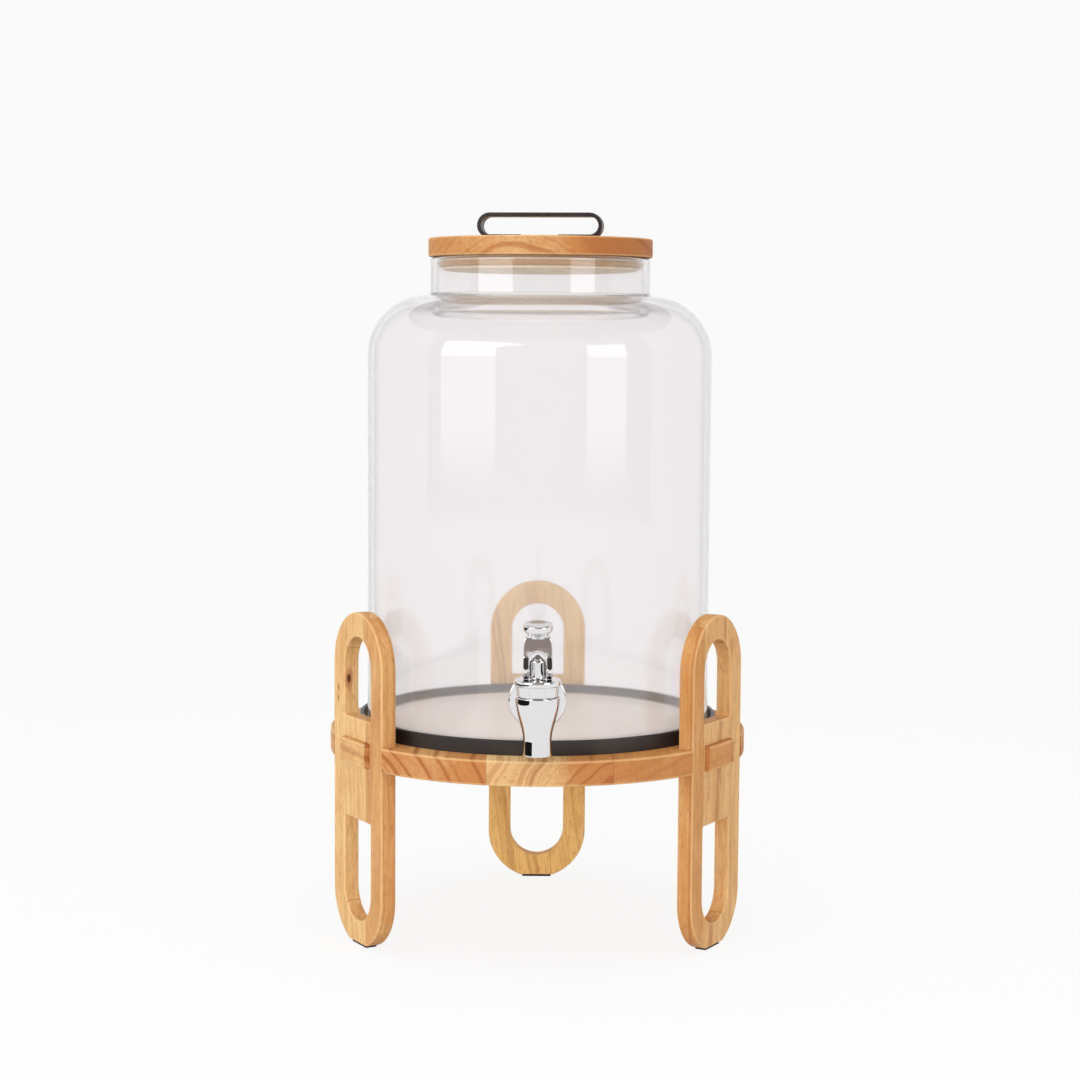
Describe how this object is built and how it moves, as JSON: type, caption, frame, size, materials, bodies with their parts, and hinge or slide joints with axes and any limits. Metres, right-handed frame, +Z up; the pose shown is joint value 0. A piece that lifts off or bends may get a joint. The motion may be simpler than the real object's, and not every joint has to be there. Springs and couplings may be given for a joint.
{
  "type": "drink dispenser",
  "caption": "Shouldered glass drink jar with a lever tap, on a round wooden board with slotted legs, under a wooden lid with a strap handle.",
  "frame": {"origin": "on the table, under the middle of the whole outline; the jar's axis is 10.2 mm behind it, at +Y", "axes": "+Z up along the jar's axis; the tap points to -Y, +X is to the right of someone facing the tap"},
  "size_m": [0.245, 0.2652, 0.42],
  "materials": {
    "stand_wood": "oiled, satin",
    "lid_wood": "oiled, satin",
    "glass": "clear, polished",
    "black_steel": "satin powder coat",
    "chrome": "polished",
    "steel": "satin",
    "silicone": "matte, milky",
    "black_rubber": "matte"
  },
  "bodies": {
    "stand": {"stand_board": "stand_wood", "leg_front_left": "stand_wood", "leg_front_right": "stand_wood", "leg_back": "stand_wood", "foot_pad_front_left": "black_rubber", "foot_pad_front_right": "black_rubber", "foot_pad_back": "black_rubber", "retaining_ring": "black_steel"},
    "jar": {"glass_jar": "glass", "tap_body": "chrome", "tap_bonnet": "chrome", "outer_washer": "silicone", "inner_washer": "silicone", "tap_nut": "steel"},
    "valve": {"tap_stem": "chrome", "seat_cup": "silicone", "valve_spring": "steel", "lever_pin": "steel"},
    "lever": {"tap_lever": "chrome"},
    "lid": {"lid_top": "lid_wood", "lid_plug": "lid_wood", "lid_seal": "silicone", "lid_handle": "black_steel", "handle_screw_left": "steel", "handle_screw_right": "steel"}
  },
  "joints": [
    {"name": "jar_lift", "type": "slide", "parent": "stand", "child": "jar", "axis": [0, 0, 1], "range_m": [0, 0.09]},
    {"name": "lid_lift", "type": "slide", "parent": "jar", "child": "lid", "axis": [0, 0, 1], "range_m": [0, 0.05]},
    {"name": "valve_lift", "type": "slide", "parent": "jar", "child": "valve", "axis": [0, 0, 1], "range_m": [0, 0.003], "stiffness_N_per_m": 800, "springref_m": -0.004, "deforming": ["valve_spring"]},
    {"name": "lever_tilt", "type": "hinge", "parent": "valve", "child": "lever", "pos_m": [0, -0.11984, 0.1718], "axis": [1, 0, 0], "range_deg": [0, 75]}
  ],
  "couplings": [
    {"joint": "lever_tilt", "follows": "valve_lift", "rad_per_m": 436.3}
  ]
}
